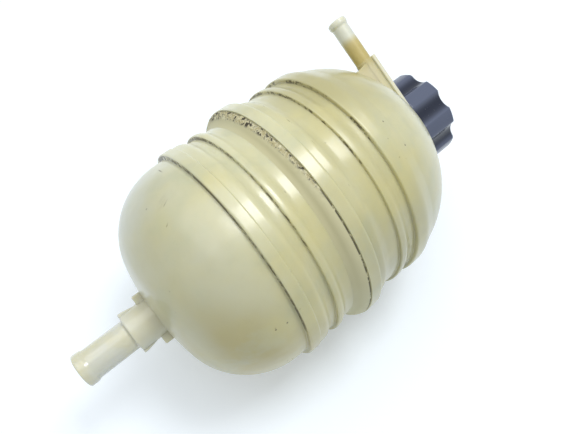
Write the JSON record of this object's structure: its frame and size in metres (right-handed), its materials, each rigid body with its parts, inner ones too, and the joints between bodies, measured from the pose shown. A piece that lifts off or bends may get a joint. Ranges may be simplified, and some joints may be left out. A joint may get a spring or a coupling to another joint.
{
  "type": "coolant expansion tank",
  "caption": "Welded spherical coolant expansion tank with guide rings, a bottom hose spigot, a side vent spigot and a screw cap that carries pressure and vacuum valves.",
  "frame": {"origin": "on the tank's axis at the plane of the weld between the two halves", "axes": "+Z along the tank's axis towards the cap, +X along the vent spigot towards its tip"},
  "size_m": [0.1612, 0.158, 0.2819],
  "materials": {
    "tank": "aged translucent, satin",
    "cap": "satin",
    "valve_plastic": "matte",
    "seal": "matte",
    "valve_metal": "satin",
    "spring_steel": "satin"
  },
  "bodies": {
    "tank": {"lower_tank_half": "tank", "upper_tank_half": "tank"},
    "cap_insert": {"valve_body": "valve_plastic", "rim_gasket": "seal", "plug_o_ring": "seal", "spring_retainer": "valve_plastic"},
    "cap_grip": {"cap_shell": "cap"},
    "pressure_valve": {"pressure_plate": "valve_metal", "pressure_seal": "seal", "pressure_spring": "spring_steel"},
    "vacuum_relief": {"vacuum_valve": "valve_metal", "vacuum_clip": "spring_steel", "vacuum_spring": "spring_steel"}
  },
  "joints": [
    {"name": "cap_lift", "type": "slide", "parent": "tank", "child": "cap_insert", "axis": [0, 0, 1], "range_m": [0, 0.012]},
    {"name": "cap_turn", "type": "hinge", "parent": "cap_insert", "child": "cap_grip", "pos_m": [0, 0, 0.124], "axis": [0, 0, 1], "range_deg": [0, 720]},
    {"name": "pressure_lift", "type": "slide", "parent": "cap_insert", "child": "pressure_valve", "axis": [0, 0, 1], "range_m": [0, 0.003], "stiffness_N_per_m": 3000, "springref_m": -0.006, "deforming": ["pressure_spring"]},
    {"name": "vacuum_drop", "type": "slide", "parent": "pressure_valve", "child": "vacuum_relief", "axis": [0, 0, -1], "range_m": [0, 0.0015], "stiffness_N_per_m": 150, "springref_m": -0.002, "deforming": ["vacuum_spring"]}
  ],
  "couplings": [
    {"joint": "cap_lift", "follows": "cap_turn", "m_per_rad": 0.00095493}
  ]
}
